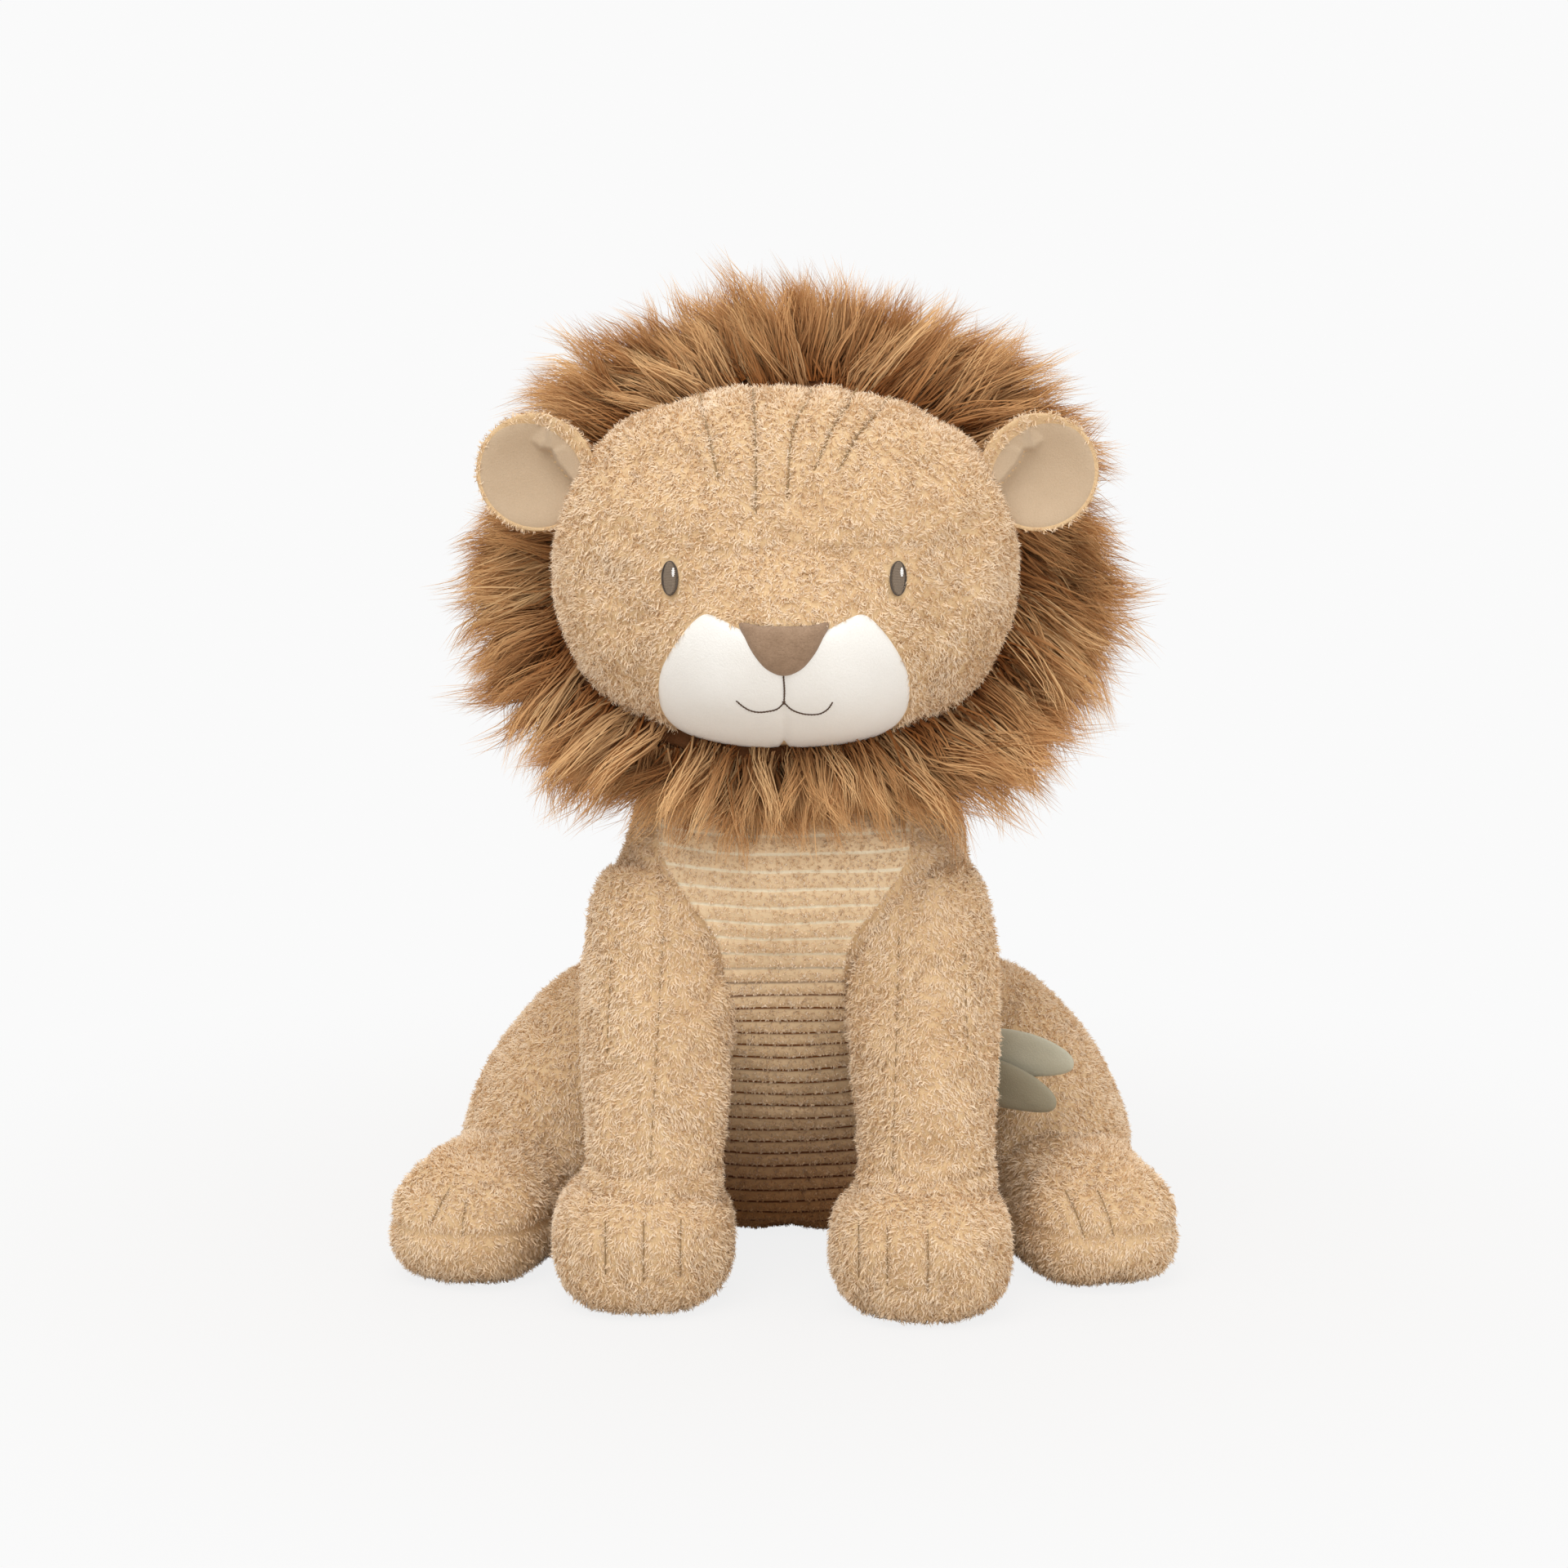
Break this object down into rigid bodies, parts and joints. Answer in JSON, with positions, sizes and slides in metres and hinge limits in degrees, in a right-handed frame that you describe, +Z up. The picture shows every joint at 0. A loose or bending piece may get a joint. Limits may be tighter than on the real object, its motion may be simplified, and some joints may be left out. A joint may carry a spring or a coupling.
{
  "type": "plush_lion",
  "caption": "Sitting plush lion in honey terry with a long-pile mane, cream muzzle, ribbed belly panel, movable head, ears, legs and tail, and a sprig of leaves.",
  "frame": {"origin": "on the floor, under the middle of the outer box", "axes": "+X to the lion's own left (the viewer's right), -Y the way it looks, +Z up"},
  "size_m": [0.4774, 0.3968, 0.5913],
  "materials": {
    "terry": "short looped terry pile, honey tan with paler loop ends",
    "ribbed_plush": "low plush in level ribs, thin paler lines between them",
    "long_pile": "long straight faux-fur pile, brown at the root and caramel at the tip",
    "cream_velour": "close-cut off-white velour",
    "taupe_velour": "close-cut taupe velour",
    "beige_velour": "close-cut beige velour",
    "sage_velour": "close-cut sage velour",
    "dark_sage_velour": "close-cut darker sage velour",
    "eye_thread": "level satin stitches in grey-brown thread",
    "filling": "loose white polyester fibre"
  },
  "bodies": {
    "torso": {"torso_cover": "terry", "torso_filling": "filling", "belly_panel": "ribbed_plush"},
    "neck": {"neck": "filling"},
    "head": {"head_cover": "terry", "head_filling": "filling", "muzzle_panel": "cream_velour", "nose": "taupe_velour", "eye_left": "eye_thread", "eye_right": "eye_thread", "mane": "long_pile"},
    "ear_left": {"ear_left": "terry", "ear_lining_left": "beige_velour"},
    "ear_right": {"ear_right": "terry", "ear_lining_right": "beige_velour"},
    "foreleg_left": {"foreleg_left": "terry", "forepaw_left": "terry"},
    "foreleg_right": {"foreleg_right": "terry", "forepaw_right": "terry"},
    "hind_leg_left": {"thigh_left": "terry", "hind_paw_left": "terry", "hind_sole_left": "terry"},
    "hind_leg_right": {"thigh_right": "terry", "hind_paw_right": "terry", "hind_sole_right": "terry"},
    "tail": {"tail": "terry", "tail_tuft": "long_pile"},
    "leaves": {"leaf_upper": "sage_velour", "leaf_lower": "dark_sage_velour"}
  },
  "joints": [
    {"name": "neck_turn", "type": "hinge", "parent": "torso", "child": "neck", "pos_m": [0, -0.049, 0.327], "axis": [0, 0, 1], "range_deg": [-20, 20], "stiffness_Nm_per_rad": 1.5},
    {"name": "head_nod", "type": "hinge", "parent": "neck", "child": "head", "pos_m": [0, -0.049, 0.327], "axis": [1, 0, 0], "range_deg": [-10, 7], "stiffness_Nm_per_rad": 6},
    {"name": "ear_left_fold", "type": "hinge", "parent": "head", "child": "ear_left", "pos_m": [0.124, -0.071, 0.472], "axis": [0.284, 0, -0.9588], "range_deg": [0, 25], "stiffness_Nm_per_rad": 0.05},
    {"name": "ear_right_fold", "type": "hinge", "parent": "head", "child": "ear_right", "pos_m": [-0.124, -0.071, 0.472], "axis": [0.284, 0, 0.9588], "range_deg": [0, 25], "stiffness_Nm_per_rad": 0.05},
    {"name": "foreleg_left_swing", "type": "hinge", "parent": "torso", "child": "foreleg_left", "pos_m": [0.078, -0.086, 0.205], "axis": [-1, 0, 0], "range_deg": [0, 35], "stiffness_Nm_per_rad": 4, "springref_deg": -5.73},
    {"name": "foreleg_right_swing", "type": "hinge", "parent": "torso", "child": "foreleg_right", "pos_m": [-0.078, -0.086, 0.205], "axis": [-1, 0, 0], "range_deg": [0, 35], "stiffness_Nm_per_rad": 4, "springref_deg": -5.73},
    {"name": "hind_leg_left_splay", "type": "hinge", "parent": "torso", "child": "hind_leg_left", "pos_m": [0.122, 0.084, 0.078], "axis": [0, 0, 1], "range_deg": [0, 18], "stiffness_Nm_per_rad": 2},
    {"name": "hind_leg_right_splay", "type": "hinge", "parent": "torso", "child": "hind_leg_right", "pos_m": [-0.122, 0.084, 0.078], "axis": [0, 0, -1], "range_deg": [0, 18], "stiffness_Nm_per_rad": 2},
    {"name": "tail_swing", "type": "hinge", "parent": "torso", "child": "tail", "pos_m": [0, 0.171, 0.044], "axis": [0, 0, -1], "range_deg": [0, 35], "stiffness_Nm_per_rad": 0.1},
    {"name": "leaves_flap", "type": "hinge", "parent": "torso", "child": "leaves", "pos_m": [0.08889, -0.035, 0.127], "axis": [0, 0, -1], "range_deg": [-5, 20], "stiffness_Nm_per_rad": 0.01}
  ]
}
